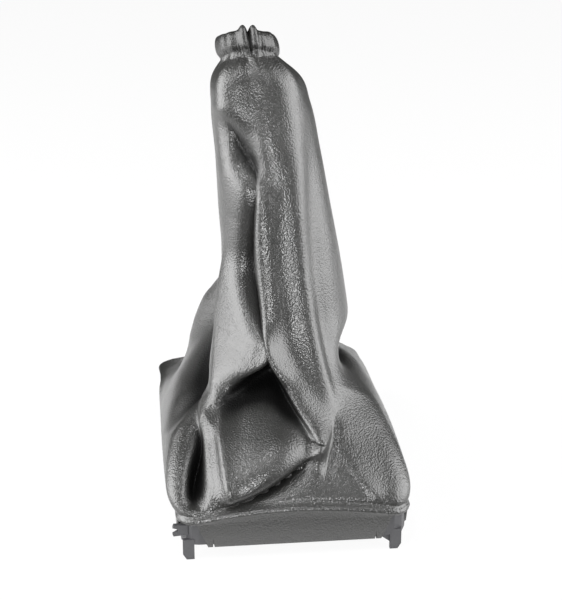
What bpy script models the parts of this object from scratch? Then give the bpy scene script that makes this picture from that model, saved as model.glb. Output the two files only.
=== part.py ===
import math

import bmesh
import bpy
import numpy as np
from mathutils import Matrix

# Sizes in metres. +Z is up, the frame stands along Y, and the front of the photo is -Y.
FRAME_WIDTH = 0.1150
FRAME_LENGTH = 0.1930
FRAME_CORNER = 0.0090
WALL_FOOT = 0.0082
WALL_TOP = 0.0200
WALL_ARCH = 0.0052
WALL_THICKNESS = 0.0024
FLANGE_REACH = 0.0055
FLANGE_THICKNESS = 0.0022
LEG_WIDTH = 0.0058
LEG_INSET = 0.0030
LEG_TAPER = 0.0018
LEG_THICKNESS = 0.0020
LEG_SINK = 0.0030
LEG_SHOULDER = 0.0030
RIB_REACH = 0.0050
RIB_THICKNESS = 0.0018
RIB_INSET = 0.0016
HOOK_REACH = 0.0042
HOOK_HEIGHT = 0.0022
HOOK_PLACE = 0.0027
HOOK_THICKNESS = 0.0024
HOOK_LIP = 0.0028
HOOK_ROOT = 0.0035
LEATHER_THICKNESS = 0.0012
FIT_GAP = 0.0003
TURNED_IN_TOP = 0.0155
TURNED_IN_NOTCH = 0.0165
CORNER_CUT = 0.0130
CORNER_CUT_TOP = 0.0082
CUT_MARGIN = 0.0040
ELASTIC_WIDTH = 0.0040
ELASTIC_THICKNESS = 0.0013
LIP_HEIGHT = 0.0020
LIP_REACH = 0.0009
SEAM_DEPTH = 0.0015
COLLAR_TOP = 0.2379
ACROSS_SHIFT = 0.0017
MM = 0.001

# Added to the folds' widths, and the height over which they grow from the frame's edge, in mm
FOLD_SOFTNESS = 3.5
FOLD_START = 8.0

# Columns from the front middle (0) to the back middle (12), and how many faces lie in each step
LEFT_FACES = (4, 4, 4, 4, 3, 2, 2, 2, 1, 2, 2, 1)
RIGHT_FACES = (3, 3, 3, 3, 2, 1, 1, 1, 1, 2, 2, 1)
# Their bearings in degrees where the neck is an oval
BEARINGS = (0, 15, 31, 48, 66, 84, 100, 114, 128, 141, 154, 167, 180)
# Their places along the frame's side, as shares of half its length
SIDE_PLACES = (-0.72, -0.44, -0.14, 0.2, 0.6)

# The boot's sections in mm: height, centre across, centre back, reach to the left, right, front and back,
# share of the frame's outline in the shape, and lean
SECTIONS = (
    (30, 0, 0, 63, 60.5, 93, 95, 0.96, 0),
    (40, 0, -2, 63, 58.5, 84, 86, 0.82, 0),
    (52, 0, -3, 58, 53, 72, 74, 0.56, 0),
    (64, 0, -2, 50, 46, 60, 62, 0.32, 0),
    (78, 0, -1, 41, 41, 50, 53, 0.15, 0),
    (94, 1, 2, 36, 38, 42, 46, 0.05, 0.02),
    (122, 3.5, 5, 31.5, 31.5, 34, 38, 0, 0.08),
    (155, 0, 8, 29, 29, 29, 31, 0, 0.16),
    (181, -3.5, 12, 26.5, 28, 26, 27, 0, 0.24),
    (205, -7, 17, 24.5, 26.5, 23, 23, 0, 0.34),
    (219, -9, 20, 21.5, 22.5, 19, 19, 0, 0.44),
    (225, -10.6, 21.6, 16.2, 16.6, 15, 15, 0, 0.50),
)
# The collar hem in mm, up the outside and down the inside: height, centre across, centre back, radius
HEM = (
    (228, -11.2, 22.4, 14.4),
    (230.6, -11.6, 23.5, 15.7),
    (234.4, -12.2, 25.2, 15.8),
    (237, -12.7, 26.5, 14.9),
    (237.9, -12.9, 26.9, 13.4),
    (236.9, -12.7, 26.4, 11.9),
    (233.2, -12.1, 24.7, 11.3),
    (229.2, -11.4, 22.9, 12.1),
)
HEM_LEAN = 0.50
STRETCH = (COLLAR_TOP - WALL_TOP) / (HEM[4][0] * MM - WALL_TOP)

# Where the main crest runs, in mm: height, across. One column of points follows it.
CREST = (
    (21.3, 0), (35, 0), (41, 3), (45, 9), (48, 14), (52, 17), (56.5, 15), (64.5, 9), (75.5, 2), (86, -4), (96, -6.5),
    (108, -5), (138, -6.5), (168, -7), (193, -5), (203, -3), (214, -5), (225, -10.6))

# Where the flap's left edge runs: height, across, back. EDGE_COLUMN, left of the middle, follows it.
EDGE = (
    (21.3, -41.6, -97.4), (30, -40.5, -91), (40, -38, -84), (52, -37, -68), (65, -36.5, -47), (76, -36, -33),
    (87, -34, -20), (104, -32, -3.5), (122, -29, -4), (150, -29, -4), (190, -26, 0), (225, -22.6, 11.6))
EDGE_COLUMN = 3

# Folds in mm: the side they are seen from, how sharp, how far they lean over to their left, then
# across, up, height, width on the left and on the right of the line
FOLDS = (
    # main crest down the front of the neck
    ("front", 2, 0, (
        (4, 214, 0, 9, 8), (-2, 203, 2, 9, 9), (-5, 193, 3, 7, 10), (-6.5, 181, 3.6, 7, 11),
        (-7, 168, 4, 6.5, 11), (-7, 153, 4.4, 6.5, 11), (-6.5, 138, 4.8, 7, 11), (-5.5, 123, 5, 7, 10),
        (-5, 108, 5.2, 6, 9), (-6, 96, 4.6, 5, 7), (-3.5, 86, 2.5, 4, 5), (2, 75, 0, 4, 5))),
    # main crest, round the foot's bulge
    ("front", 1.5, 0.35, (
        (-6, 104, 0, 4, 6), (-6.8, 96, 1.5, 3.5, 5), (-4, 86, 5.5, 3.5, 4.5), (2, 75.5, 8.5, 3.5, 4),
        (9, 64.5, 9.5, 3.5, 4), (15, 56.5, 9.5, 4, 4), (17, 52, 9, 4, 4), (14, 48, 7, 4, 4.5), (9, 45, 4, 3.5, 4),
        (4, 42.5, 1, 3, 3), (0, 41, 0, 3, 3))),
    # right edge of the big flap and its lower lip
    ("front", 1.6, -0.5, (
        (-13, 184, 0, 12, 4), (-12.8, 175, 1.2, 13, 4), (-12.6, 163, 2.6, 14, 4), (-15, 147, 3.8, 14, 4),
        (-18.5, 130, 4.6, 14, 4), (-19, 118, 5.4, 15, 4), (-16, 107, 6.5, 16, 4), (-12, 97, 7.5, 16, 3.5),
        (-10.5, 90, 9, 15, 3.5), (-15, 86, 10, 13, 3.5), (-23, 80, 9.5, 12, 3.5), (-31, 71.5, 7.5, 10, 3.5),
        (-36, 66, 4.5, 8, 3.5))),
    # valley beside the crest
    ("front", 1.8, 0, (
        (-10, 184, 0, 3.5, 3), (-11, 170, -3, 3.5, 3), (-12, 155, -4.5, 3.5, 3.5), (-14.2, 140, -6, 4, 4),
        (-15, 128, -7, 4, 4), (-14, 116, -7, 4, 4), (-11.5, 104, -5, 3.5, 3), (-9.5, 95, -3, 3, 2),
        (-8.5, 89, 0, 3, 2))),
    # dip under the shoulder
    ("front", 2, 0, (
        (-28, 200, 0, 6, 6), (-20, 192, -2.5, 6, 7), (-12, 184, -3, 6, 7), (-9, 174, -1.5, 4, 5), (-9, 166, 0, 4, 4))),
    # left edge of the flap
    ("left", 1.6, 0, (
        (5, 134, 0, 4, 8), (4, 122, 3, 4, 9), (3.5, 104, 6, 4, 10), (20, 87, 7, 4, 10), (33, 76, 7.5, 4, 9),
        (47, 65, 7, 4, 7), (58, 57, 3, 4, 6), (67, 52, 0, 4, 5))),
    # left edge, at the foot
    ("front", 1.6, 0, (
        (-35, 72, 0, 4, 4), (-36.5, 65, 3, 4, 4), (-37, 58, 6, 4, 4), (-37, 50, 6.5, 4, 4), (-37, 41, 5, 4, 3.5),
        (-36.5, 32, 2, 3.5, 3), (-36, 26, 0, 3, 3))),
    # valley behind the left edge
    ("left", 2, 0, (
        (-16, 128, 0, 8, 6), (-9, 112, -8, 8, 6), (-1, 96, -13, 8, 6), (10, 83, -14, 8, 6), (22, 71, -11, 8, 6),
        (33, 61, -6, 8, 7), (42, 51, -2, 8, 8), (47, 44, 0, 8, 8))),
    # rear skirt on the left
    ("left", 2, 0, (
        (-22, 120, 0, 14, 12), (-27, 108, 3, 14, 12), (-32, 97, 8, 15, 12), (-36, 87, 10.5, 15, 12),
        (-42, 76, 10, 15, 12), (-49, 66, 6, 14, 12), (-56, 57, 0, 14, 12))),
    # dip over the rear left corner
    ("left", 2, 0, (
        (-50, 56, 0, 10, 10), (-58, 51, -6, 12, 11), (-66, 46, -10, 14, 12), (-74, 42, -12, 13, 12),
        (-82, 38, -9, 11, 10), (-89, 35, -4, 9, 9), (-95, 31, 0, 8, 8))),
    # notch between the neck and the right of the foot
    ("right", 2, 0, (
        (-44, 66, 0, 8, 6), (-32, 74, -6, 10, 7), (-18, 80, -16, 11, 7), (2, 81, -17, 11, 7), (26, 75, -14, 12, 9),
        (54, 62, -9, 13, 10), (80, 45, -7, 12, 12), (92, 37, -4, 10, 10))),
    # hollow under the flap
    ("front", 2.2, 0, (
        (-37, 56, 0, 6, 6), (-32, 63, -8, 7, 6), (-23, 70, -15, 8, 7), (-12, 74, -19, 9, 8), (-4, 71.5, -18, 9, 7),
        (2, 65, -13, 8, 6), (8, 58, -6, 6, 5), (12, 54, 0, 5, 4))),
    # bulge under the hollow
    ("front", 2.2, 0, (
        (-38, 29, 0, 6, 7), (-31, 36, 5, 9, 9), (-20, 43.5, 9, 11, 11), (-8, 50, 9.5, 11, 11), (2, 54, 6, 9, 9),
        (10, 56, 0, 6, 6))),
    # crease at the foot of the bulge
    ("front", 1.5, 0, (
        (15, 48, 0, 2.5, 3), (8, 43.5, -5, 2.5, 3), (-3, 37.5, -8, 2.5, 3.5), (-15, 32, -8, 2.5, 3.5),
        (-27, 28, -6.5, 2.5, 3.5), (-36, 26.5, -3, 2.5, 3), (-42, 27, 0, 3, 3))),
    # deep groove at the front left corner
    ("front", 1.9, 0, (
        (-46, 64, 0, 4, 4), (-48, 54, -4, 4, 4), (-49, 44, -10, 4.5, 4.5), (-50, 35, -13, 5, 5),
        (-50.5, 30, -12, 5, 5), (-50.5, 27, -6, 4.5, 4.5), (-50.5, 25, 0, 4, 4))),
    # small fold on the right of the foot
    ("front", 1.8, 0, (
        (24, 60, 0, 2, 3), (23, 53, -3, 3, 3), (20, 46, -4, 4, 3), (18, 40, -2.5, 3.5, 3), (17, 36, 0, 3, 3))),
    # crease on the right of the foot
    ("front", 1.6, 0, (
        (25, 46, 0, 2, 5), (31, 40, 2, 2, 6), (38, 33, 2, 2, 6), (45, 27, 0, 2, 5))),
    # soft ridge down the right of the neck
    ("front", 2, 0, (
        (3, 226, 0.5, 5, 5), (6, 214, 1.8, 6, 7), (8, 198, 2.2, 8, 7), (9, 180, 2.4, 9, 6), (9.5, 155, 2.6, 9, 5),
        (11, 127, 3, 9, 5), (13.5, 105, 3.6, 8, 4.5), (17, 86, 4, 7, 4), (20.5, 71, 3, 6, 3.5), (25, 60, 0, 5, 4))),
    # soft valley down the right of the neck
    ("front", 1.8, 0, (
        (14, 205, 0, 5, 5), (17, 186, -1.8, 5, 6), (18, 160, -2.6, 5, 6), (18.5, 136, -2.4, 5, 6),
        (19.5, 112, -1.6, 4, 6), (22, 88, -2, 3.5, 6), (25, 72, 0, 3, 5))),
)

for old in list(bpy.data.objects):
    bpy.data.objects.remove(old)

gaiter = bpy.data.collections.new("handbrake_gaiter")
cutters = bpy.data.collections.new("cutters")
bpy.context.scene.collection.children.link(gaiter)
bpy.context.scene.collection.children.link(cutters)


def material(name, colour, roughness):
    made = bpy.data.materials.new(name)
    made.use_nodes = True
    shader = made.node_tree.nodes["Principled BSDF"]
    shader.inputs["Base Color"].default_value = (*colour, 1)
    shader.inputs["Roughness"].default_value = roughness
    return made


def node(name, verts, faces, collection, surface=None):
    mesh = bpy.data.meshes.new(name)
    mesh.from_pydata([(float(x) + ACROSS_SHIFT, float(y), float(z)) for x, y, z in verts], [], faces)
    mesh.validate()
    shaped = bmesh.new()
    shaped.from_mesh(mesh)
    bmesh.ops.recalc_face_normals(shaped, faces=shaped.faces)
    shaped.to_mesh(mesh)
    shaped.free()
    made = bpy.data.objects.new(name, mesh)
    if surface:
        mesh.materials.append(surface)
    collection.objects.link(made)
    return made


def smooth_curve(places, values, at):
    """Values at the places asked for, on a smooth curve through the given ones."""
    places, values, at = (np.asarray(v, float) for v in (places, values, at))
    gaps = np.diff(places)[:, None]
    slopes = np.diff(values, axis=0) / gaps
    inner = (slopes[:-1] * gaps[1:] + slopes[1:] * gaps[:-1]) / (gaps[:-1] + gaps[1:])
    ends = np.vstack([slopes[:1], inner, slopes[-1:]])
    i = np.clip(np.searchsorted(places, at, side="right") - 1, 0, len(places) - 2)
    w = gaps[i]
    t = (at - places[i])[:, None] / w
    start = (1 + 2 * t) * (1 - t) ** 2 * values[i] + t * (1 - t) ** 2 * w * ends[i]
    return start + t * t * (3 - 2 * t) * values[i + 1] + t * t * (t - 1) * w * ends[i + 1]


def outline(columns, grown):
    """The frame's outline moved out by grown: a rounded rectangle, one point for each column."""
    half_w, half_l = FRAME_WIDTH / 2 + grown, FRAME_LENGTH / 2 + grown
    corner = FRAME_CORNER + grown
    points = []
    for c in columns:
        a = abs(c)
        if a <= 3.5:
            x, y = (half_w - corner) * a / 3.5, -half_l
        elif a < 4.5:
            turn = (a - 3.5) * math.pi / 2
            x = half_w - corner + corner * math.sin(turn)
            y = -half_l + corner - corner * math.cos(turn)
        elif a <= 9.5:
            stops = [corner - half_l, *(half_l * s for s in SIDE_PLACES), half_l - corner]
            x, y = half_w, np.interp(a, (4.5, 5, 6, 7, 8, 9, 9.5), stops)
        elif a < 10.5:
            turn = (a - 9.5) * math.pi / 2
            x = half_w - corner + corner * math.cos(turn)
            y = half_l - corner + corner * math.sin(turn)
        else:
            x, y = (half_w - corner) * (12 - a) / 1.5, half_l
        points.append((math.copysign(x, c) if c else 0.0, y))
    return np.array(points)


def arch(columns):
    """How far the frame's upper edge rises toward the middle of its front and back."""
    across = np.abs(outline(columns, 0)[:, 0]) / (FRAME_WIDTH / 2)
    rise = WALL_ARCH * (1 - np.clip(across / 0.9, 0, 1) ** 2)
    return np.where((np.abs(columns) < 4) | (np.abs(columns) > 10), rise, 0)


def outward(loops):
    along = np.roll(loops, -1, axis=1) - np.roll(loops, 1, axis=1)
    normal = np.stack([along[..., 1], -along[..., 0]], -1)
    return normal / np.maximum(np.linalg.norm(normal, axis=-1, keepdims=True), 1e-9)


def fold_shape(flat, sharp, line):
    """Height of one fold in mm at flat points in mm, and the direction to its line's left."""
    line = np.array(line, float)
    steps = np.arange(len(line))
    line = smooth_curve(steps, line, np.linspace(0, len(line) - 1, 6 * (len(line) - 1) + 1))
    start, run = line[:-1], np.diff(line, axis=0)
    flat_run = run[:, :2]
    size = np.maximum((flat_run**2).sum(1), 1e-9)
    away = flat[:, None] - start[None, :, :2]
    t = np.clip((away * flat_run).sum(2) / size, 0, 1)
    off = away - t[..., None] * flat_run
    far = np.linalg.norm(off, axis=2)
    i = far.argmin(1)
    k = np.arange(len(flat))
    off, far = off[k, i], far[k, i]
    side = flat_run[i, 0] * off[:, 1] - flat_run[i, 1] * off[:, 0]
    row = start[i] + t[k, i][:, None] * run[i]
    width = np.hypot(np.where(side < 0, row[:, 3], row[:, 4]), FOLD_SOFTNESS)
    left = np.column_stack([flat_run[i, 1], -flat_run[i, 0]]) / np.sqrt(size[i])[:, None]
    return row[:, 2] * np.exp(-((far / width) ** sharp)), left


def stretched(loops):
    """The same points in metres, with their height above the frame's edge scaled to the collar's height."""
    loops = loops * MM
    loops[..., 2] = WALL_TOP + (loops[..., 2] - WALL_TOP) * STRETCH
    return loops


def section(columns, row, reach):
    """One section of the boot in mm: between the frame's outline moved out by reach, and an oval."""
    across, back, left, right, front, rear, share, lean = row
    share = min(max(share, 0), 1)
    bearing = np.radians(np.interp(np.abs(columns), range(13), BEARINGS)) * np.sign(columns)
    p = share * outline(columns, reach) / (FRAME_WIDTH / 2 + reach, FRAME_LENGTH / 2 + reach)
    p += (1 - share) * np.stack([np.sin(bearing), -np.cos(bearing)], 1)
    p[:, 0] *= np.where(p[:, 0] < 0, left, right)
    p[:, 1] *= np.where(p[:, 1] < 0, front, rear)
    return p + (across, back)


def boot(heights, columns):
    """Loops of the boot's middle surface above the frame's edge, in metres, at heights in mm."""
    reach = FIT_GAP + LEATHER_THICKNESS / 2
    first = (WALL_TOP / MM + 1.3, 0, 0, *[(FRAME_WIDTH / 2 + reach) / MM] * 2,
             *[(FRAME_LENGTH / 2 + reach) / MM] * 2, 1, 0)
    table = np.array((first, *SECTIONS), float)
    values = smooth_curve(table[:, 0], table[:, 1:], heights)
    crest, edge = np.array(CREST), np.array(EDGE)
    front_columns, left_columns = np.linspace(-3, 3, 61), np.linspace(-8, -1, 141)
    loops = []
    for height, row in zip(heights, values):
        back, lean = row[1], row[-1]
        crest_column = np.interp(np.interp(height, *crest.T), section(front_columns, row, reach)[:, 0], front_columns)
        target = [np.interp(height, edge[:, 0], edge[:, k]) for k in (1, 2)]
        edge_column = left_columns[np.linalg.norm(section(left_columns, row, reach) - target, axis=1).argmin()]
        side_column = -5 + (edge_column + EDGE_COLUMN) * np.clip((height - 35) / 25, 0, 1)
        moved = np.interp(columns, (-12, -5, -EDGE_COLUMN, 0, 3.5, 12),
                          (-12, side_column, edge_column, crest_column, 3.5, 12))
        p = section(moved, row, reach)
        fade = np.clip(1 - (height - first[0]) / 24, 0, 1) ** 2
        loops.append(np.column_stack([p, height - lean * (p[:, 1] - back) + arch(moved) / MM * fade]))
    loops = np.array(loops)
    normal = outward(loops)
    fade_in = np.clip((np.asarray(heights) - first[0]) / FOLD_START, 0, 1)[:, None]
    added, shifted = np.zeros(loops.shape[:2]), np.zeros(loops.shape)
    for seen_from, sharp, roll, line in FOLDS:
        if seen_from == "front":
            flat, facing, axes = loops[..., [0, 2]], -normal[..., 1], ((1, 0, 0), (0, 0, 1))
        elif seen_from == "left":
            flat, facing, axes = loops[..., [1, 2]] * (-1, 1), -normal[..., 0], ((0, -1, 0), (0, 0, 1))
        else:
            flat, facing, axes = loops[..., [1, 2]], normal[..., 0], ((0, 1, 0), (0, 0, 1))
        facing = np.clip((facing + 0.1) / 0.5, 0, 1)
        facing = facing * facing * (3 - 2 * facing) * fade_in
        height, left = fold_shape(flat.reshape(-1, 2), sharp, line)
        height = facing * height.reshape(facing.shape)
        added += height
        shifted += roll * height[..., None] * (left.reshape(*facing.shape, 2) @ np.array(axes))
    turn = columns * math.pi / 12
    gathers = np.sin(10 * turn + 1) + 0.6 * np.sin(17 * turn + 2)
    strength = np.interp(loops[..., 2].mean(1), (206, 219, 226), (0, 0.3, 0.7))
    added += strength[:, None] * gathers
    loops[..., :2] += normal * added[..., None]
    return stretched(loops + shifted)


def hem_ring(height, across, back, radius, columns):
    """One ring of the collar hem, with its small gathers and the two lips at the front, in metres."""
    bearing = np.radians(np.interp(np.abs(columns), range(13), BEARINGS)) * np.sign(columns)
    turn = columns * math.pi / 12
    a = np.abs(columns)
    seam = LIP_REACH * np.exp(-(((a - 0.72) / 0.35) ** 2)) - SEAM_DEPTH * np.exp(-((a / 0.32) ** 2))
    r = radius + 0.22 * np.sin(9 * turn + 1) + 0.14 * np.sin(14 * turn) + seam / MM
    p = np.stack([np.sin(bearing) * r, -np.cos(bearing) * r], 1)
    near_top = max(0, 1 - abs(height - HEM[4][0]) / 5)
    lift = LIP_HEIGHT / MM * (np.exp(-(((a - 0.72) / 0.45) ** 2)) - 0.9 * np.exp(-((a / 0.3) ** 2)))
    lift += 0.35 * np.sin(5 * turn + 2)
    return stretched(np.column_stack([p + (across, back), height - HEM_LEAN * p[:, 1] + near_top * lift]))


def ring_faces(rows, around):
    return [(i * around + j, i * around + (j + 1) % around, (i + 1) * around + (j + 1) % around,
             (i + 1) * around + j) for i in range(rows - 1) for j in range(around)]


def block(name, low, high):
    """A cutting block between two opposite corners."""
    low, high = np.minimum(low, high), np.maximum(low, high)
    middle = (low + high) / 2 + (ACROSS_SHIFT, 0, 0)
    mesh = bpy.data.meshes.new(name)
    shaped = bmesh.new()
    bmesh.ops.create_cube(shaped, size=1, matrix=Matrix.LocRotScale(middle, None, high - low))
    shaped.to_mesh(mesh)
    shaped.free()
    made = bpy.data.objects.new(name, mesh)
    cutters.objects.link(made)
    return made


def plate(name, outline_points, thickness, place, turn=0.0):
    """An upright plate: an outline of (across, up) points, its middle at place, turned about +Z."""
    curve = bpy.data.curves.new(name, "CURVE")
    curve.dimensions = "2D"
    curve.fill_mode = "BOTH"
    curve.extrude = thickness / 2
    spline = curve.splines.new("POLY")
    spline.points.add(len(outline_points) - 1)
    for point, (across, up) in zip(spline.points, outline_points):
        point.co = (across, up, 0, 1)
    spline.use_cyclic_u = True
    drawn = bpy.data.objects.new(name, curve)
    drawn.location = (place[0] + ACROSS_SHIFT, place[1], place[2])
    drawn.rotation_euler = (math.pi / 2, 0, turn)
    cutters.objects.link(drawn)
    bpy.context.view_layer.update()
    mesh = bpy.data.meshes.new_from_object(drawn.evaluated_get(bpy.context.evaluated_depsgraph_get()))
    shaped = bmesh.new()
    shaped.from_mesh(mesh)
    bmesh.ops.remove_doubles(shaped, verts=shaped.verts, dist=1e-6)
    bmesh.ops.recalc_face_normals(shaped, faces=shaped.faces)
    shaped.to_mesh(mesh)
    shaped.free()
    made = bpy.data.objects.new(name, mesh)
    made.matrix_world = drawn.matrix_world
    bpy.data.objects.remove(drawn)
    cutters.objects.link(made)
    return made


def cut(target, tool, operation):
    modifier = target.modifiers.new(tool.name, "BOOLEAN")
    modifier.operation = operation
    modifier.solver = "EXACT"
    modifier.object = tool
    tool.hide_render = True
    tool.display_type = "WIRE"


left_columns, right_columns = (
    np.concatenate([np.linspace(k, k + 1, n + 1)[:-1] for k, n in enumerate(faces)])
    for faces in (LEFT_FACES, RIGHT_FACES))
columns = np.concatenate([-left_columns[:0:-1], right_columns, [12.0]])

leather = material("leather", (0.03, 0.03, 0.029), 0.42)
plastic = material("moulded_plastic", (0.02, 0.02, 0.021), 0.5)
band = material("elastic_band", (0.015, 0.015, 0.015), 0.8)

# Leather: up the inside of the wall, round its foot, up the outside, over the boot and into the hem
mid = FIT_GAP + LEATHER_THICKNESS / 2
slant = mid * math.sqrt(0.5)
skirt = (
    (-WALL_THICKNESS - mid, TURNED_IN_TOP),
    (-WALL_THICKNESS - mid, WALL_FOOT),
    (-WALL_THICKNESS - slant, WALL_FOOT - slant),
    (-WALL_THICKNESS / 2, WALL_FOOT - mid),
    (slant, WALL_FOOT - slant),
    (mid, WALL_FOOT + LEATHER_THICKNESS / 2),
    (mid, WALL_TOP),
)
rise = arch(columns)
rows = []
for grown, height in skirt:
    lifted = rise if height == WALL_TOP else 0 * rise
    rows.append(np.column_stack([outline(columns, grown), height + lifted]))
heights = np.concatenate([
    np.linspace(WALL_TOP / MM + 1.3, 92, 23)[:-1], np.linspace(92, 205, 11)[:-1], np.linspace(205, 225, 6)])
rows += list(boot(heights, columns))
rows += [hem_ring(*ring, columns) for ring in HEM]
skin = node("leather_gaiter", np.concatenate(rows), ring_faces(len(rows), len(columns)), gaiter, leather)
# Each quad is split along its shorter diagonal, so that the edges run along the folds
shaped = bmesh.new()
shaped.from_mesh(skin.data)
bmesh.ops.triangulate(shaped, faces=shaped.faces, quad_method="SHORT_EDGE")
shaped.to_mesh(skin.data)
shaped.free()
shell = skin.modifiers.new("thickness", "SOLIDIFY")
shell.thickness = LEATHER_THICKNESS
shell.offset = 0
shell.use_even_offset = False

# The leather's corners are cut off slanting at the hem, and its turned-in part is notched there
CORNERS = ((-1, -1, "front_left"), (1, -1, "front_right"), (1, 1, "rear_right"), (-1, 1, "rear_left"))
outer = LEATHER_THICKNESS + FIT_GAP
cut_low, cut_high = WALL_FOOT - CUT_MARGIN, WALL_TOP - FIT_GAP
slope = (CORNER_CUT - CORNER_CUT_TOP) / (cut_high - WALL_FOOT)
far = 2 * CUT_MARGIN
slant_cut = [(-CORNER_CUT - slope * CUT_MARGIN, cut_low), (far, cut_low), (far, cut_high), (-CORNER_CUT_TOP, cut_high)]
slant_cut = [(across / math.sqrt(2), up) for across, up in slant_cut]
for sx, sy, name in CORNERS:
    place = (sx * (FRAME_WIDTH / 2 + outer), sy * (FRAME_LENGTH / 2 + outer), 0)
    cut(skin, plate("corner_cut_" + name, slant_cut, 3 * CORNER_CUT, place, math.atan2(sy, sx)), "DIFFERENCE")
    side = np.array((sx, sy, 1))
    reach_out = np.array((FRAME_WIDTH / 2, FRAME_LENGTH / 2, 0)) - WALL_THICKNESS / 2
    reach_in = reach_out - (TURNED_IN_NOTCH, TURNED_IN_NOTCH, 0)
    reach_out[2], reach_in[2] = TURNED_IN_TOP + CUT_MARGIN / 2, cut_low
    cut(skin, block("turned_in_notch_" + name, side * reach_in, side * reach_out), "DIFFERENCE")

# Frame: one moulded ring with a wall, an inward flange, four legs with ribs, and a hook at the front left
top = WALL_TOP + rise
low = np.full(len(columns), WALL_FOOT)
inner = -WALL_THICKNESS
profile = (
    (0, low), (0, top), (inner - FLANGE_REACH, top), (inner - FLANGE_REACH, top - FLANGE_THICKNESS),
    (inner, top - FLANGE_THICKNESS), (inner, low),
)
loops = [np.column_stack([outline(columns, grown), height]) for grown, height in profile]
around, n = len(columns), len(loops)
faces = [(i * around + j, i * around + (j + 1) % around, (i + 1) % n * around + (j + 1) % around,
          (i + 1) % n * around + j) for i in range(n) for j in range(around)]
frame = node("clip_frame", np.concatenate(loops), faces, gaiter, plastic)
for sx, sy, name in CORNERS:
    x1 = FRAME_WIDTH / 2 - (LEG_INSET if sx > 0 else WALL_THICKNESS / 3)
    x0 = x1 - LEG_WIDTH
    root = WALL_FOOT + LEG_SINK
    leg = [(x0, root), (x1, root), (x1, LEG_SHOULDER), (x1 - LEG_TAPER, 0), (x0, 0)]
    leg = [(sx * across, up) for across, up in leg]
    place = (0, sy * (FRAME_LENGTH - WALL_THICKNESS) / 2, 0)
    cut(frame, plate("leg_" + name, leg, LEG_THICKNESS, place), "UNION")
x0 = FRAME_WIDTH / 2 - LEG_INSET - LEG_WIDTH
rib = [(x0 + LEG_TAPER / 2, root), (x0 - RIB_REACH, root), (x0 - RIB_REACH, WALL_FOOT - RIB_THICKNESS / 2),
       (x0 + LEG_TAPER / 2, LEG_SHOULDER)]
place = (0, RIB_INSET + (RIB_THICKNESS - FRAME_LENGTH) / 2, 0)
cut(frame, plate("rib_front_right", rib, RIB_THICKNESS, place), "UNION")
x0, x1, z1 = HOOK_ROOT - FRAME_WIDTH / 2, -HOOK_REACH - FRAME_WIDTH / 2, WALL_TOP - HOOK_HEIGHT / 2
z0 = z1 - 2.5 * HOOK_HEIGHT
chamfer = HOOK_HEIGHT / 4
hook = [(x0, z0), (x1 + chamfer, z0 - chamfer), (x1, z0 + chamfer), (x1 + HOOK_LIP, z0 + HOOK_HEIGHT),
        (x1 + HOOK_LIP, z1 - HOOK_HEIGHT), (x1, z1 - 2.5 * chamfer), (x1 + chamfer, z1), (x0, z1)]
place = (0, HOOK_PLACE - FRAME_LENGTH / 2, 0)
cut(frame, plate("hook_front_left", hook, HOOK_THICKNESS, place), "UNION")

# Elastic band in the tunnel of the hem
tunnel_middle = (HEM[0][0] + HEM[4][0]) / 2
low, high = tunnel_middle - ELASTIC_WIDTH / MM / 2, tunnel_middle + ELASTIC_WIDTH / MM / 2
tunnel_radius = (HEM[2][3] + HEM[6][3]) / 2
inside, outside = (tunnel_radius + side * ELASTIC_THICKNESS / MM / 2 for side in (-1, 1))
centres = np.array(HEM)[:4, :3]
loops = []
for height, radius in ((low, inside), (high, inside), (high, outside), (low, outside)):
    across, back = (np.interp(height, centres[:, 0], centres[:, k]) for k in (1, 2))
    loops.append(hem_ring(height, across, back, radius, columns))
faces = [(i * around + j, i * around + (j + 1) % around, (i + 1) % 4 * around + (j + 1) % around,
          (i + 1) % 4 * around + j) for i in range(4) for j in range(around)]
node("collar_elastic", np.concatenate(loops), faces, gaiter, band)
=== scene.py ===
import math

import bpy
import numpy as np
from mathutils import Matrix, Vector


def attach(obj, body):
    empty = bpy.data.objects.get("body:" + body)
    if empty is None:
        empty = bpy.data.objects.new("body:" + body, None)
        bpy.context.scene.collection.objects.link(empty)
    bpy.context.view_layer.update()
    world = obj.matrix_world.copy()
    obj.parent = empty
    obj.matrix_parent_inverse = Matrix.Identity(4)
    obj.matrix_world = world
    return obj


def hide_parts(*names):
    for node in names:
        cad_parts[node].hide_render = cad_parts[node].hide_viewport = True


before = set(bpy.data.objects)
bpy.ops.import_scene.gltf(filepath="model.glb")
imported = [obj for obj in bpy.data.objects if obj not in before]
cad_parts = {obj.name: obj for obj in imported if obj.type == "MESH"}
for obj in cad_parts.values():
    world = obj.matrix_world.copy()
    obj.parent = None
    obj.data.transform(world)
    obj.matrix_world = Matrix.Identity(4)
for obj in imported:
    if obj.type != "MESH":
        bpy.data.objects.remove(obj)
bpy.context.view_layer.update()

mm = 0.001

# the clip frame that the leather is wrapped over, in metres
clip = dict(width=0.115, length=0.193, corner=0.009, foot=0.0082, top=0.020, arch=0.0052, wall=0.0024,
            shift=0.0017)

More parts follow.
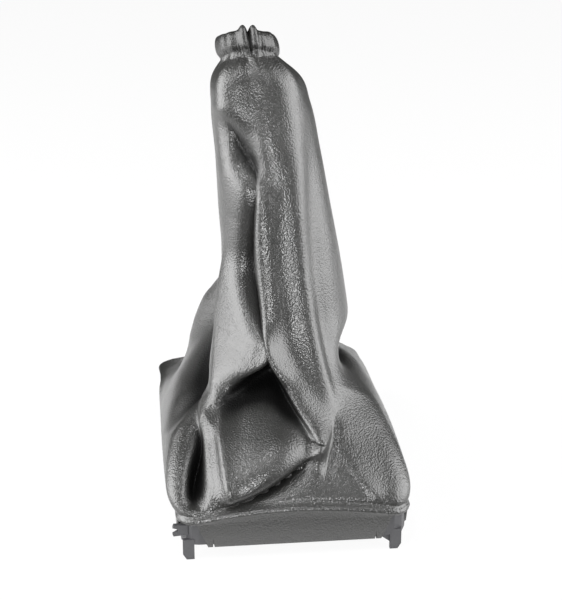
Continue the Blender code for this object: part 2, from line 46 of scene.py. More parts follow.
leather = dict(
    thickness=0.0012, gap=0.0003, turnedInTop=0.0155, notch=0.0165, cornerCut=0.013, cornerCutTop=0.0082,
    # faces in each of the twelve steps from the front middle to the back middle
    stepFaces=(17, 17, 17, 17, 20, 9, 7, 6, 6, 6, 5, 5),
    # their bearings where the neck is an oval, and their places along the frame's side
    bearings=(0, 15, 31, 48, 66, 84, 100, 114, 128, 141, 154, 167, 180),
    sidePlaces=(-0.72, -0.44, -0.14, 0.2, 0.6),
    hemLean=0.5, lip=0.0020,
    # how flat the leather lies round the foot of the wall: 1 is a half circle
    flatUnder=0.62,
    # the pressed edge over the frame and the dip above it in mm: how far out, how high, how wide
    bead=(1.1, 0, 1.0), beadFoot=(-0.9, 2.4, 1.2), beadRows=12,
    # between these depths in a fold, in mm, the painted shade goes from none to full: darker colour and less gloss;
    # the collar hem is made darker and less glossy all over by a fixed share of the same
    paintedShadeDepths=(2.5, 9.0), hemDarkShare=0.35)

# the boot's sections in mm: height, centre across and back, reach to the left, right, front and back,
# share of the frame's outline in the shape, lean
sections = (
    (30, 0, 0, 63, 60.5, 93, 95, 0.96, 0),
    (40, 0, -2, 63, 58.5, 84, 86, 0.82, 0),
    (52, 0, -3, 58, 53, 72, 74, 0.56, 0),
    (64, 0, -2, 50, 46, 60, 62, 0.32, 0),
    (78, 0, -1, 41, 41, 50, 53, 0.15, 0),
    (94, 1, 2, 36, 38, 42, 46, 0.05, 0.02),
    (122, 3.5, 5, 31.5, 31.5, 34, 38, 0, 0.08),
    (155, 0, 8, 29, 29, 29, 31, 0, 0.16),
    (181, -3.5, 12, 26.5, 28, 26, 27, 0, 0.24),
    (205, -7, 17, 24.5, 26.5, 23, 23, 0, 0.34),
    (219, -9, 20, 21.5, 22.5, 19, 19, 0, 0.44),
    (225, -10.6, 21.6, 16.2, 16.6, 15, 15, 0, 0.50),
)
# how square the neck's front left corner is at each height in mm: 2 is an oval
squareness = ((92, 2), (150, 2), (168, 2.8), (186, 4.5), (210, 4.5), (220, 3), (225, 2))
# the foot's rear left corner hangs lower: its column, spread in columns, drop in mm and the heights between
rearLeftSag = dict(column=-9.6, spread=1.7, drop=11, low=(22, 40), high=(44, 66))
# the collar hem in mm, up the outside and down the inside: height, centre across and back, radius
hem = (
    (228, -11.2, 22.4, 14.4),
    (230.6, -11.6, 23.5, 15.7),
    (234.4, -12.2, 25.2, 15.8),
    (237, -12.7, 26.5, 14.9),
    (237.9, -12.9, 26.9, 13.4),
    (236.9, -12.7, 26.4, 11.9),
    (233.2, -12.1, 24.7, 11.3),
    (229.2, -11.4, 22.9, 12.1),
)

# waves round the boot: how many, how high, phase
bootWaves = ((10, 1, 1), (17, 0.6, 2))
hemWaves = ((9, 0.3, 1), (17, 0.22, 0))

# folds in mm: the side they are seen from, how sharp, how far they lean over to their left, then
# across, up, height, width on the left and on the right of the line
folds = dict(
    crestUpper=("front", 2, 0, (
        (4, 214, 0, 8, 8), (-3, 203, 1.5, 7, 9), (-7, 193, 2.6, 6, 10), (-9, 181, 3.6, 4.5, 8),
        (-9.8, 168, 4.4, 4, 8), (-9.8, 153, 4.8, 4, 8), (-9.2, 138, 5.2, 4, 8), (-8.2, 123, 5.4, 4, 8),
        (-7.5, 108, 5.2, 4, 9), (-7.5, 96, 4.6, 4, 7), (-4.5, 86, 2.5, 4, 5), (2, 75, 0, 4, 5))),
    crestLower=("front", 1.5, 0.35, (
        (-6, 104, 0, 4, 6), (-6.8, 96, 1.5, 3.5, 5), (-4, 86, 5.5, 3.5, 4.5), (2, 75.5, 8.5, 3.5, 4),
        (9, 64.5, 9.5, 3.5, 4), (15, 56.5, 9.5, 4, 4), (17, 52, 9, 4, 4), (14, 48, 7, 4, 4.5), (9, 45, 4, 3.5, 4),
        (4, 42.5, 1, 3, 3), (0, 41, 0, 3, 3))),
    flapEdge=("front", 1.6, -0.5, (
        (-15, 182, 0, 12, 3.5), (-14, 174, 3, 13, 3.5), (-15, 163, 4.6, 14, 3.5), (-17.5, 147, 5, 14, 3.5),
        (-20.5, 130, 5, 14, 4), (-21, 118, 5.6, 15, 4), (-18, 107, 6.6, 16, 4), (-13.5, 97, 7.8, 16, 3.5),
        (-11, 90, 9, 15, 3.5), (-15, 86, 10, 13, 3.5), (-23, 80, 9.5, 12, 3.5), (-31, 71.5, 7.5, 10, 3.5),
        (-36, 66, 4.5, 8, 3.5))),
    crestValley=("front", 1.8, 0, (
        (-12, 186, 0, 3.5, 3), (-13, 172, -3, 3, 3), (-14, 157, -4.5, 3.5, 3), (-16, 141, -6, 4, 3.5),
        (-17, 128, -7, 4, 4), (-15.5, 116, -7, 4, 4), (-13, 104, -5.5, 3.5, 3), (-10.8, 95, -3, 3, 2),
        (-9, 89, 0, 3, 2))),
    leftRidge=("left", 1.6, 0, (
        (5, 134, 0, 2.5, 8), (6, 122, 1.5, 2.5, 9), (10, 106, 2, 2.5, 9), (20, 92, 1.5, 2.5, 8), (32, 80, 1.5, 3, 7),
        (45, 68, 3, 3.5, 6), (56, 58, 1.5, 4, 6), (66, 52, 0, 4, 5))),
    leftRidgeFoot=("front", 1.6, 0, (
        (-31, 74, 0, 4, 4), (-32, 66, 3, 4, 4), (-32.5, 58, 6, 4, 4), (-32.5, 50, 6.5, 4, 4), (-32.5, 41, 5, 4, 3.5),
        (-32.5, 32, 2, 3.5, 3), (-33, 26, 0, 3, 3))),
    wedgeDip=("front", 2, 0, (
        (-32, 206, 0, 8, 6), (-26, 199, -4.5, 9, 7), (-20, 190, -7.2, 9, 8), (-14, 181, -6.8, 7, 8),
        (-9, 173, -4, 5, 6), (-6, 166, 0, 5, 5))),
    leftValley=("left", 2, 0, (
        (-12, 126, 0, 8, 5), (-6, 112, -9, 13, 5), (0, 98, -17, 19, 5), (9, 86, -20, 20, 5), (19, 75, -18, 17, 5),
        (31, 65, -12, 10, 6), (41, 55, -5, 8, 7), (48, 46, 0, 8, 8))),
    rearLeftRidge=("left", 2, 0, (
        (-24, 118, 0, 11, 9), (-28, 107, 2, 11, 9), (-31, 98, 6.5, 12, 9), (-34, 88, 11.5, 12, 9),
        (-39, 77, 12.5, 13, 10), (-46, 66, 7.5, 13, 11), (-54, 57, 0, 13, 11))),
    rearLeftDip=("left", 2, 0, (
        (-50, 56, 0, 10, 10), (-58, 51, -6, 12, 11), (-66, 46, -10, 14, 12), (-74, 42, -12, 13, 12),
        (-82, 38, -9, 11, 10), (-89, 35, -4, 9, 9), (-95, 31, 0, 8, 8))),
    rightNotch=("right", 2, 0, (
        (-44, 65, 0, 8, 6), (-32, 72.5, -6, 9, 7), (-18, 78.5, -16, 9.5, 8), (2, 79, -17, 9.5, 8),
        (26, 73.5, -14, 11, 9),
        (54, 62, -9, 13, 10), (80, 45, -7, 12, 12), (92, 37, -4, 10, 10))),
    hollow=("front", 2.2, 0, (
        (-37, 56, 0, 6, 6), (-32, 63, -8, 7, 6), (-23, 70, -15, 8, 7), (-12, 74, -19, 9, 8), (-4, 71.5, -18, 9, 7),
        (2, 65, -13, 8, 6), (8, 58, -6, 6, 5), (12, 54, 0, 5, 4))),
    bulge=("front", 2.2, 0, (
        (-38, 29, 0, 6, 7), (-31, 36, 5, 9, 9), (-20, 43.5, 9, 11, 11), (-8, 50, 9.5, 11, 11), (2, 54, 6, 9, 9),
        (10, 56, 0, 6, 6))),
    footCrease=("front", 1.5, 0, (
        (15, 48, 0, 2.5, 3), (8, 43.5, -5, 2.5, 3), (-3, 37.5, -8, 2.5, 3.5), (-15, 32, -8, 2.5, 3.5),
        (-27, 28, -6.5, 2.5, 3.5), (-36, 26.5, -3, 2.5, 3), (-42, 27, 0, 3, 3))),
    leftGroove=("front", 1.9, 0, (
        (-46, 64, 0, 4, 4), (-48, 54, -5, 4, 4), (-49, 44, -13, 4, 4), (-50, 35, -18, 4.5, 4.5),
        (-50.5, 30, -16, 4.5, 4.5), (-50.5, 27, -8, 4, 4), (-50.5, 25, 0, 4, 4))),
    rightSmallFold=("front", 1.8, 0, (
        (24, 60, 0, 2, 3), (23, 53, -3, 3, 3), (20, 46, -4, 4, 3), (18, 40, -2.5, 3.5, 3), (17, 36, 0, 3, 3))),
    rightCrease=("front", 1.6, 0, (
        (25, 46, 0, 2, 5), (31, 40, 2, 2, 6), (38, 33, 2, 2, 6), (45, 27, 0, 2, 5))),
    rightRidge=("front", 2, 0, (
        (3, 226, 0.5, 5, 5), (6, 214, 1.8, 6, 7), (8, 198, 2.2, 8, 7), (9, 180, 2.4, 9, 6), (9.5, 155, 2.6, 9, 5),
        (11, 127, 3, 9, 5), (13.5, 105, 3.6, 8, 4.5), (17, 86, 4, 7, 4), (20.5, 71, 3, 6, 3.5), (25, 60, 0, 5, 4))),
    rightValley=("front", 2, 0, (
        (14, 205, 0, 6, 6), (17, 186, -1, 6, 6), (18, 160, -1.4, 6, 6), (18.5, 136, -1.4, 6, 6),
        (19.5, 112, -1.2, 5, 6), (22, 88, -1.8, 4, 6), (25, 72, 0, 3, 5))),
)


def smoothCurve(places, values, at):
    # values at the places asked for, on a smooth curve through the given ones
    places, values, at = (np.asarray(v, float) for v in (places, values, at))
    gaps = np.diff(places)[:, None]
    slopes = np.diff(values, axis=0) / gaps
    inner = (slopes[:-1] * gaps[1:] + slopes[1:] * gaps[:-1]) / (gaps[:-1] + gaps[1:])
    ends = np.vstack([slopes[:1], inner, slopes[-1:]])
    i = np.clip(np.searchsorted(places, at, side="right") - 1, 0, len(places) - 2)
    w = gaps[i]
    t = (at - places[i])[:, None] / w
    start = (1 + 2 * t) * (1 - t) ** 2 * values[i] + t * (1 - t) ** 2 * w * ends[i]
    return start + t * t * (3 - 2 * t) * values[i + 1] + t * t * (t - 1) * w * ends[i + 1]


def smoothStep(x, low, high):
    t = np.clip((x - low) / (high - low), 0, 1)
    return t * t * (3 - 2 * t)


def frameOutline(c, grown):
    # the frame's outline moved out by grown, at columns c from -12 to 12: 0 is the front middle
    c, grown = np.broadcast_arrays(np.asarray(c, float), np.asarray(grown, float))
    a = np.abs(c)
    halfW, halfL, corner = clip["width"] / 2 + grown, clip["length"] / 2 + grown, clip["corner"] + grown
    flatW, flatL = halfW - corner, halfL - corner
    turn = np.where(a < 8, np.clip(a - 3.5, 0, 1), np.clip(a - 9.5, 0, 1)) * math.pi / 2
    places = np.array([0, *leather["sidePlaces"], 0])
    places[0], places[-1] = -(clip["length"] / 2 - clip["corner"]), clip["length"] / 2 - clip["corner"]
    places[1:-1] *= clip["length"] / 2
    alongSide = np.interp(a, (4.5, 5, 6, 7, 8, 9, 9.5), places)
    x = np.select([a <= 3.5, a < 4.5, a <= 9.5, a < 10.5],
                  [flatW * a / 3.5, flatW + corner * np.sin(turn), halfW, flatW + corner * np.cos(turn)],
                  flatW * (12 - a) / 1.5)
    y = np.select([a <= 3.5, a < 4.5, a <= 9.5, a < 10.5],
                  [-halfL, -flatL - corner * np.cos(turn), alongSide, flatL + corner * np.sin(turn)], halfL)
    return np.stack([np.where(c < 0, -x, x), y], -1)


def arch(c):
    # how far the frame's upper edge rises toward the middle of its front and back
    across = np.abs(frameOutline(c, 0)[..., 0]) / (clip["width"] / 2)
    rise = clip["arch"] * (1 - np.clip(across / 0.9, 0, 1) ** 2)
    return np.where((np.abs(c) < 4) | (np.abs(c) > 10), rise, 0)


def outward(loops):
    along = np.roll(loops, -1, axis=1) - np.roll(loops, 1, axis=1)
    normal = np.stack([along[..., 1], -along[..., 0]], -1)
    return normal / np.maximum(np.linalg.norm(normal, axis=-1, keepdims=True), 1e-9)


def foldShape(flat, sharp, line):
    # how high one fold stands at flat points in mm, and which way its line's left side lies
    line = np.array(line, float)
    line = smoothCurve(np.arange(len(line)), line, np.linspace(0, len(line) - 1, 6 * (len(line) - 1) + 1))
    near = np.nonzero((np.abs(flat - line[:, :2].mean(0)) < np.ptp(line[:, :2], axis=0) / 2 + 40).all(1))[0]
    height, left = np.zeros(len(flat)), np.zeros((len(flat), 2))
    if not len(near):
        return height, left
    start, run = line[:-1], np.diff(line, axis=0)
    flatRun = run[:, :2]
    size = np.maximum((flatRun**2).sum(1), 1e-9)
    away = flat[near][:, None] - start[None, :, :2]
    t = np.clip((away * flatRun).sum(2) / size, 0, 1)
    off = away - t[..., None] * flatRun
    far = np.linalg.norm(off, axis=2)
    i = far.argmin(1)
    k = np.arange(len(near))
    off, far = off[k, i], far[k, i]
    side = flatRun[i, 0] * off[:, 1] - flatRun[i, 1] * off[:, 0]
    row = start[i] + t[k, i][:, None] * run[i]
    width = np.where(side < 0, row[:, 3], row[:, 4])
    height[near] = row[:, 2] * np.exp(-((far / np.maximum(width, 0.1)) ** sharp))
    left[near] = np.stack([flatRun[i, 1], -flatRun[i, 0]], 1) / np.sqrt(size[i])[:, None]
    return height, left


def waves(turn, table):
    return sum(high * np.sin(count * turn + phase) for count, high, phase in table)


def bootRows(heights, c):
    # the leather's middle surface above the frame's edge, in mm, one ring of points for each height, and how
    # far the folds sink each point
    reach = leather["gap"] + leather["thickness"] / 2
    halfW, halfL = clip["width"] / 2 + reach, clip["length"] / 2 + reach
    first = (clip["top"] / mm + 1.3, 0, 0, halfW / mm, halfW / mm, halfL / mm, halfL / mm, 1, 0)
    table = np.array((first, *sections), float)
    values = smoothCurve(table[:, 0], table[:, 1:], heights)
    base = frameOutline(c, reach) / (halfW, halfL)
    bearing = np.radians(np.interp(np.abs(c), range(13), leather["bearings"])) * np.sign(c)
    oval = np.stack([np.sin(bearing), -np.cos(bearing)], 1)
    corner = (c < 0) & (np.abs(bearing) < math.pi / 2)
    rise = arch(c) / mm
    sag = rearLeftSag
    # columns 24 apart are the same place on the ring
    sagShare = sum(np.exp(-(((c - lap - sag["column"]) / sag["spread"]) ** 2)) for lap in (0, 24))
    loops = []
    for height, (across, back, left, right, front, rear, share, lean) in zip(heights, values):
        share = min(max(share, 0), 1)
        n = np.interp(height, *np.array(squareness).T)
        size = (np.abs(oval) ** n).sum(1) ** (-1 / n)
        p = share * base + (1 - share) * oval * np.where(corner, size, 1)[:, None]
        p = np.stack([p[:, 0] * np.where(p[:, 0] < 0, left, right), p[:, 1] * np.where(p[:, 1] < 0, front, rear)], 1)
        fade = np.clip(1 - (height - first[0]) / 24, 0, 1) ** 2
        drop = sag["drop"] * smoothStep(height, *sag["low"]) * (1 - smoothStep(height, *sag["high"]))
        loops.append(np.column_stack([p + (across, back), height - lean * p[:, 1] + rise * fade - drop * sagShare]))
    loops = np.array(loops)
    normal = outward(loops)
    fadeIn = np.clip((np.asarray(heights) - first[0]) / 6, 0, 1)[:, None]
    added, sunk, shifted = np.zeros(loops.shape[:2]), np.zeros(loops.shape[:2]), np.zeros(loops.shape)
    for seenFrom, sharp, roll, line in folds.values():
        if seenFrom == "front":
            flat, facing, axes = loops[..., [0, 2]], -normal[..., 1], ((1, 0, 0), (0, 0, 1))
        elif seenFrom == "left":
            flat, facing, axes = loops[..., [1, 2]] * (-1, 1), -normal[..., 0], ((0, -1, 0), (0, 0, 1))
        else:
            flat, facing, axes = loops[..., [1, 2]], normal[..., 0], ((0, 1, 0), (0, 0, 1))
        facing = smoothStep(facing, -0.1, 0.4) * fadeIn
        height, left = foldShape(flat.reshape(-1, 2), sharp, line)
        height = facing * height.reshape(facing.shape)
        added += height
        sunk += np.clip(-height, 0, None)
        if roll:
            shifted += roll * height[..., None] * (left.reshape(*facing.shape, 2) @ np.array(axes))
    turn = c * math.pi / 12
    strength = np.interp(loops[..., 2].mean(1), (206, 219, 226), (0, 0.3, 0.7))
    added += strength[:, None] * waves(turn, bootWaves)
    loops[..., :2] += normal * added[..., None]
    return loops + shifted, sunk


def hemRows(rings, c):
    # the collar hem in mm, with its small gathers and the two lips at the front
    bearing = np.radians(np.interp(np.abs(c), range(13), leather["bearings"])) * np.sign(c)
    turn, a = c * math.pi / 12, np.abs(c)
    seam = 0.9 * np.exp(-(((a - 0.72) / 0.35) ** 2)) - 1.5 * np.exp(-((a / 0.32) ** 2))
    lift = leather["lip"] / mm * (np.exp(-(((a - 0.72) / 0.45) ** 2)) - 0.9 * np.exp(-((a / 0.3) ** 2)))
    lift += 0.35 * np.sin(5 * turn + 2)
    rows = []
    for height, across, back, radius in rings:
        nearSeam = np.exp(-(((height - hem[0][0] - 1) / 1.3) ** 2))
        r = radius + waves(turn, hemWaves) + seam
        r -= nearSeam * (0.35 + 0.3 * np.abs(np.sin(31 * turn)) * np.clip(7 - a, 0, 1))
        p = np.stack([np.sin(bearing) * r, -np.cos(bearing) * r], 1)
        nearTop = max(0, 1 - abs(height - hem[4][0]) / 5)
        rows.append(np.column_stack([p + (across, back), height - leather["hemLean"] * p[:, 1] + nearTop * lift]))
    return np.array(rows)


def skirtRows(c):
    # up the inside of the wall, round its foot and up the outside: less of it at the cut corners
    gap, thick, wall = leather["gap"], leather["thickness"], clip["wall"]
    mid, foot, top = gap + thick / 2, clip["foot"], clip["top"]
    radius = wall / 2 + mid
    inside, under, outside = leather["turnedInTop"] - foot, math.pi * radius, top - foot
    edge = frameOutline(c, 0)
    fromCorner = clip["width"] / 2 - np.abs(edge[:, 0]) + clip["length"] / 2 - np.abs(edge[:, 1])
    cutHigh = top - gap
    rise = (cutHigh - foot) * np.clip((leather["cornerCut"] - fromCorner)
                                      / (leather["cornerCut"] - leather["cornerCutTop"]), 0, 1)
    start = np.where(fromCorner < leather["notch"], inside + under * 0.5, 0)
    start = np.where(fromCorner < leather["cornerCut"], inside + under + rise, start)
    whole = inside + under + outside
    marks = np.concatenate([np.linspace(0, inside, 5)[:-1], inside + np.linspace(0, under, 12)[:-1],
                            inside + under + np.linspace(0, outside, 14)]) / whole
    rows, normals = [], []
    for mark in marks:
        at = start + (whole - start) * mark
        turn = np.clip((at - inside) / under, 0, 1) * math.pi
        grown = -wall / 2 - radius * np.cos(turn)
        height = np.where(at < inside, foot + inside - at, foot - radius * np.sin(turn) * leather["flatUnder"])
        height = np.where(at > inside + under, foot + at - inside - under, height)
        lifted = arch(c) * np.clip((height - foot) / (top - foot), 0, 1) ** 6 * (grown > 0)
        rows.append(np.column_stack([frameOutline(c, grown), height + lifted]))
        away = frameOutline(c, grown + 0.001) - frameOutline(c, grown)
        away /= np.linalg.norm(away, axis=1, keepdims=True)
        normals.append(np.column_stack([away * -np.cos(turn)[:, None], -np.sin(turn)]))
    return np.array(rows) / mm, np.array(normals)


def gridNormals(grid):
    around = np.roll(grid, -1, axis=1) - np.roll(grid, 1, axis=1)
    up = np.gradient(grid, axis=0)
    normal = np.cross(around, up)
    return normal / np.maximum(np.linalg.norm(normal, axis=-1, keepdims=True), 1e-9)


def tubeFaces(rows, around):
    # quads between neighbouring rings, the last ring joined to the first
    i, j = np.meshgrid(np.arange(rows), np.arange(around), indexing="ij")
    nextRow, nextColumn = (i + 1) % rows, (j + 1) % around
    return np.stack([i * around + j, i * around + nextColumn, nextRow * around + nextColumn,
                     nextRow * around + j], -1).reshape(-1, 4)


def meshObject(name, verts, faces, material):
    mesh = bpy.data.meshes.new(name)
    mesh.from_pydata(verts.tolist(), [], faces.tolist())
    mesh.materials.append(material)
    mesh.shade_smooth()
    made = bpy.data.objects.new(name, mesh)
    bpy.context.scene.collection.objects.link(made)
    return made


def makeLeather(material):
    halfTurn = np.concatenate([np.linspace(k, k + 1, n + 1)[:-1] for k, n in enumerate(leather["stepFaces"])])
    c = np.concatenate([-halfTurn[:0:-1], halfTurn, [12.0]])
    skirt, skirtNormals = skirtRows(c)
    start = clip["top"] / mm + 1.3
    heights = np.concatenate([np.linspace(start, 92, 100)[:-1], np.linspace(92, 205, 106)[:-1],
                              np.linspace(205, 225, 24)])
    boot, sunk = bootRows(heights, c)
    hemRings = smoothCurve(np.arange(len(hem)), np.array(hem), np.linspace(0, len(hem) - 1, 36))
    collar = hemRows(hemRings, c)
    middle = np.concatenate([skirt, boot, collar])
    edgeHeight = clip["top"] / mm + 0.9 + arch(c) / mm
    for name in ("bead", "beadFoot"):
        rise, above, width = leather[name]
        part = rise * np.exp(-(((middle[..., 2] - edgeHeight - above) / width) ** 2))
        part[:len(skirt) // 2] = 0
        part[len(skirt) + leather["beadRows"]:] = 0
        out = frameOutline(c, 0.001) - frameOutline(c, 0)
        middle[..., :2] += part[..., None] * (out / np.linalg.norm(out, axis=1, keepdims=True))
    normals = gridNormals(middle)
    normals[:len(skirt)] = skirtNormals
    half = leather["thickness"] / 2 / mm
    outside = middle + half * normals
    keep = np.unique(np.concatenate([np.arange(0, len(skirt), 2), np.arange(len(skirt), len(middle), 5),
                                     [len(middle) - 1]]))
    inside = (middle - half * normals)[keep][::-1]
    rings = np.concatenate([outside, inside])
    rings[..., 0] += clip["shift"] / mm
    made = meshObject("leatherGaiter", rings.reshape(-1, 3) * mm, tubeFaces(len(rings), len(c)), material)
    # how much painted shade each point gets, by how far the folds sink it
    darkening = np.zeros(middle.shape[:2])
    darkening[len(skirt):len(skirt) + len(boot)] = smoothStep(sunk, *leather["paintedShadeDepths"])
    darkening[len(skirt) + len(boot):] = leather["hemDarkShare"]
    # painted shade: deeper folds get a darker colour and less gloss, and the collar hem gets a fixed share of the
    # same darkening
    shade = made.data.attributes.new("foldShadeAndDarkHem", "FLOAT", "POINT")
    shade.data.foreach_set("value", np.concatenate([darkening, darkening[keep][::-1]]).ravel())
    print("leather:", len(rings), "rings of", len(c), "points,", 2 * len(rings) * len(c), "triangles")
    return made


def newMaterial(name, colour, roughness):
    made = bpy.data.materials.new(name)
    made.use_nodes = True
    tree = made.node_tree
    shader = tree.nodes["Principled BSDF"]
    shader.inputs["Base Color"].default_value = (*colour, 1)
    shader.inputs["Roughness"].default_value = roughness
    return made, tree, shader


def addNode(tree, kind, **values):
    made = tree.nodes.new(kind)
    for key, value in values.items():
        if key in made.inputs:
            made.inputs[key].default_value = value
        else:
            setattr(made, key, value)
    return made


def mixedValues(tree, factor, first, second, **values):
    # a value that runs from the first to the second as the factor does
    ramp = addNode(tree, "ShaderNodeMapRange", **values)
    ramp.inputs["To Min"].default_value = first
    ramp.inputs["To Max"].default_value = second
    tree.links.new(factor, ramp.inputs["Value"])
    return ramp.outputs["Result"]


def grainedLeather():
    # the second colour and gloss are where the painted shade in the folds is full
    look = dict(colour=(0.016, 0.016, 0.015), foldShadeAndHemColour=(0.004, 0.004, 0.004), roughness=(0.29, 0.39), cell=0.0009,
                bump=0.75, depth=0.00022, gloss=1.0, foldShadeAndHemGloss=0.12)
    made, tree, shader = newMaterial("grainedLeather", look["colour"], look["roughness"][0])
    place = addNode(tree, "ShaderNodeTexCoord")
    # painted shade: the fold attribute darkens the base colour and lowers the specular in deep folds, and on the
    # collar hem by a fixed share
    darkening = addNode(tree, "ShaderNodeAttribute", attribute_name="foldShadeAndDarkHem")
    tree.links.new(mixedValues(tree, darkening.outputs["Fac"], look["gloss"], look["foldShadeAndHemGloss"]),
                   shader.inputs["Specular IOR Level"])
    tone = addNode(tree, "ShaderNodeMix", data_type="RGBA")
    outer, inner = [socket for socket in tone.inputs if socket.type == "RGBA"]
    outer.default_value, inner.default_value = (*look["colour"], 1), (*look["foldShadeAndHemColour"], 1)
    tree.links.new(darkening.outputs["Fac"], tone.inputs["Factor"])
    tree.links.new([o for o in tone.outputs if o.type == "RGBA"][0], shader.inputs["Base Color"])
    wear = addNode(tree, "ShaderNodeTexNoise", Scale=60, Detail=3)
    tree.links.new(place.outputs["Object"], wear.inputs["Vector"])
    tree.links.new(mixedValues(tree, wear.outputs["Fac"], *look["roughness"]), shader.inputs["Roughness"])
    wobble = addNode(tree, "ShaderNodeTexNoise", Scale=0.35 / look["cell"], Detail=2)
    tree.links.new(place.outputs["Object"], wobble.inputs["Vector"])
    moved = addNode(tree, "ShaderNodeVectorMath", operation="MULTIPLY_ADD")
    moved.inputs[1].default_value = (0.0012, 0.0012, 0.0012)
    tree.links.new(wobble.outputs["Color"], moved.inputs[0])
    tree.links.new(place.outputs["Object"], moved.inputs[2])
    cells = addNode(tree, "ShaderNodeTexVoronoi", feature="SMOOTH_F1", Scale=1 / look["cell"], Smoothness=0.3)
    tree.links.new(moved.outputs["Vector"], cells.inputs["Vector"])
    bump = addNode(tree, "ShaderNodeBump", Strength=look["bump"], Distance=look["depth"])
    bump.invert = True
    tree.links.new(cells.outputs["Distance"], bump.inputs["Height"])
    tree.links.new(bump.outputs["Normal"], shader.inputs["Normal"])
    return made


def mouldedPlastic():
    made, tree, shader = newMaterial("mouldedPlastic", (0.045, 0.045, 0.048), 0.5)
    place = addNode(tree, "ShaderNodeTexCoord")
    speckle = addNode(tree, "ShaderNodeTexNoise", Scale=2500, Detail=2)
    tree.links.new(place.outputs["Object"], speckle.inputs["Vector"])
    cloud = addNode(tree, "ShaderNodeTexNoise", Scale=90, Detail=3)
    tree.links.new(place.outputs["Object"], cloud.inputs["Vector"])
    tree.links.new(mixedValues(tree, cloud.outputs["Fac"], 0.38, 0.62), shader.inputs["Roughness"])
    bump = addNode(tree, "ShaderNodeBump", Strength=0.15, Distance=0.0001)
    tree.links.new(speckle.outputs["Fac"], bump.inputs["Height"])
    tree.links.new(bump.outputs["Normal"], shader.inputs["Normal"])
    return made


def wovenElastic():
    # rubber threads run round the band and yarn crosses them
    made, tree, shader = newMaterial("wovenElastic", (0.015, 0.015, 0.015), 0.8)
    place = addNode(tree, "ShaderNodeTexCoord")
    threads = addNode(tree, "ShaderNodeTexWave", Scale=500, bands_direction="Z", Distortion=0.6)
    yarn = addNode(tree, "ShaderNodeTexWave", Scale=350, bands_direction="DIAGONAL", Distortion=0.6)
    woven = addNode(tree, "ShaderNodeMath", operation="MAXIMUM")
    for k, wave in enumerate((threads, yarn)):
        tree.links.new(place.outputs["Object"], wave.inputs["Vector"])
        tree.links.new(wave.outputs["Fac"], woven.inputs[k])
    bump = addNode(tree, "ShaderNodeBump", Strength=0.6, Distance=0.0002)
    tree.links.new(woven.outputs[0], bump.inputs["Height"])
    tree.links.new(bump.outputs["Normal"], shader.inputs["Normal"])
    return made


def areaLamp(name, place, aim, size, power):
    lamp = bpy.data.lights.new(name, "AREA")
    lamp.shape = "RECTANGLE"
    lamp.size, lamp.size_y = size
    lamp.energy = power
    made = bpy.data.objects.new(name, lamp)
    made.location = place
    made.rotation_euler = (Vector(place) - Vector(aim)).to_track_quat("Z", "Y").to_euler()
    bpy.context.scene.collection.objects.link(made)


def seenWhite(tree, lit, share):
    # what the camera sees is mixed with plain white, and the light that it gives stays
    rays = addNode(tree, "ShaderNodeLightPath")
    white = addNode(tree, "ShaderNodeEmission", Strength=1.0)
    factor = addNode(tree, "ShaderNodeMath", operation="MULTIPLY")
    factor.inputs[1].default_value = share
    tree.links.new(rays.outputs["Is Camera Ray"], factor.inputs[0])
    mixed = addNode(tree, "ShaderNodeMixShader")
    tree.links.new(factor.outputs[0], mixed.inputs["Fac"])
    tree.links.new(lit, mixed.inputs[1])
    tree.links.new(white.outputs[0], mixed.inputs[2])
    return mixed.outputs[0]


def darkCard(name, points, material):
    # a card on the floor that shows only in reflections
    mesh = bpy.data.meshes.new(name)
    mesh.from_pydata([(x, y, 0.001) for x, y in points], [], [tuple(range(len(points)))])
    mesh.materials.append(material)
    made = bpy.data.objects.new(name, mesh)
    bpy.context.scene.collection.objects.link(made)
    made.visible_camera = made.visible_diffuse = made.visible_shadow = made.visible_transmission = False


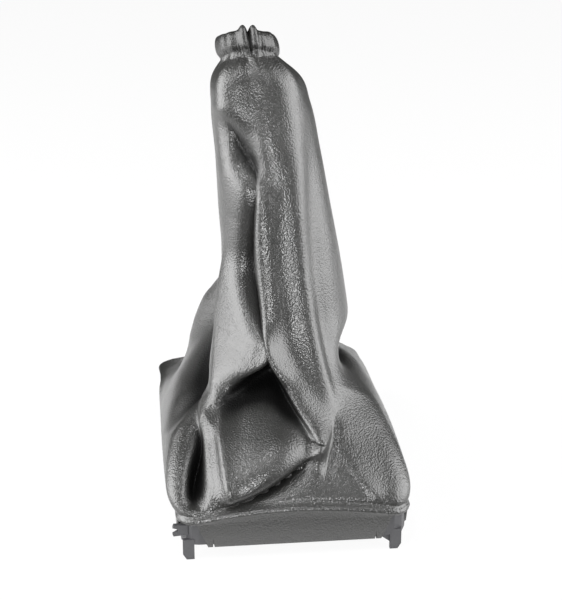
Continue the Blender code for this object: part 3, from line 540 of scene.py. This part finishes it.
def studio():
    sky = dict(frontDark=0.06, backBright=1.3, dimFrom=-0.35, brightFrom=0.35)
    lamps = dict(
        leftSoftbox=dict(place=(-1.0, -0.12, 0.55), aim=(0, 0, 0.3), size=(1.3, 1.4), power=37),
        rightSoftbox=dict(place=(1.0, -0.2, 0.55), aim=(0, 0, 0.3), size=(1.3, 1.4), power=29),
        frontLamp=dict(place=(-0.10, -0.95, 0.30), aim=(0, 0, 0.14), size=(0.05, 0.36), power=5.0),
        topLamp=dict(place=(-0.10, -0.36, 0.98), aim=(0, -0.05, 0.05), size=(0.10, 0.24), power=2.6))
    floorLook = dict(colour=(0.85, 0.85, 0.85), roughness=0.9, size=6, white=0.93)
    cardCorners = ((-0.5, -0.13), (0.5, -0.13), (1.4, -1.5), (-1.4, -1.5))
    world = bpy.data.worlds.new("studio")
    bpy.context.scene.world = world
    world.use_nodes = True
    tree = world.node_tree
    ambient = tree.nodes["Background"]
    place = addNode(tree, "ShaderNodeTexCoord")
    parts = addNode(tree, "ShaderNodeSeparateXYZ")
    tree.links.new(place.outputs["Generated"], parts.inputs[0])
    ramp = addNode(tree, "ShaderNodeMapRange", interpolation_type="SMOOTHSTEP")
    for name, value in (("From Min", sky["dimFrom"]), ("From Max", sky["brightFrom"]),
                        ("To Min", sky["frontDark"]), ("To Max", sky["backBright"])):
        ramp.inputs[name].default_value = value
    tree.links.new(parts.outputs["Y"], ramp.inputs["Value"])
    tree.links.new(ramp.outputs["Result"], ambient.inputs["Strength"])
    tree.links.new(seenWhite(tree, ambient.outputs[0], 1.0), tree.nodes["World Output"].inputs["Surface"])
    for name, lamp in lamps.items():
        areaLamp(name, **lamp)
    black, tree, shader = newMaterial("blackCard", (0.01, 0.01, 0.01), 1.0)
    darkCard("floorCard", cardCorners, black)
    pale, tree, shader = newMaterial("paleFloor", floorLook["colour"], floorLook["roughness"])
    tree.links.new(seenWhite(tree, shader.outputs[0], floorLook["white"]),
                   tree.nodes["Material Output"].inputs["Surface"])
    bpy.ops.mesh.primitive_plane_add(size=floorLook["size"])
    floor = bpy.context.object
    floor.name = "floor"
    floor.data.materials.append(pale)


def camera():
    view = dict(distance=0.9, azimuth=-6.0, elevation=21.7, target=(0.0047, 0, 0.1004), focal=100.2)
    a, e = math.radians(view["azimuth"]), math.radians(view["elevation"])
    back = Vector((math.sin(a) * math.cos(e), -math.cos(a) * math.cos(e), math.sin(e)))
    lens = bpy.data.cameras.new("camera")
    lens.lens = view["focal"]
    lens.sensor_fit = "VERTICAL"
    lens.sensor_height = 36
    made = bpy.data.objects.new("camera", lens)
    made.location = Vector(view["target"]) + back * view["distance"]
    made.rotation_euler = back.to_track_quat("Z", "Y").to_euler()
    bpy.context.scene.collection.objects.link(made)
    bpy.context.scene.camera = made


gaiterMaterial = grainedLeather()
gaiter = makeLeather(gaiterMaterial)
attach(gaiter, "root")
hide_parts("leather_gaiter")

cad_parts["clip_frame"].data.materials.clear()
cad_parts["clip_frame"].data.materials.append(mouldedPlastic())
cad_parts["collar_elastic"].data.materials.clear()
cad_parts["collar_elastic"].data.materials.append(wovenElastic())

studio()
camera()
bpy.context.scene.view_settings.view_transform = "Standard"
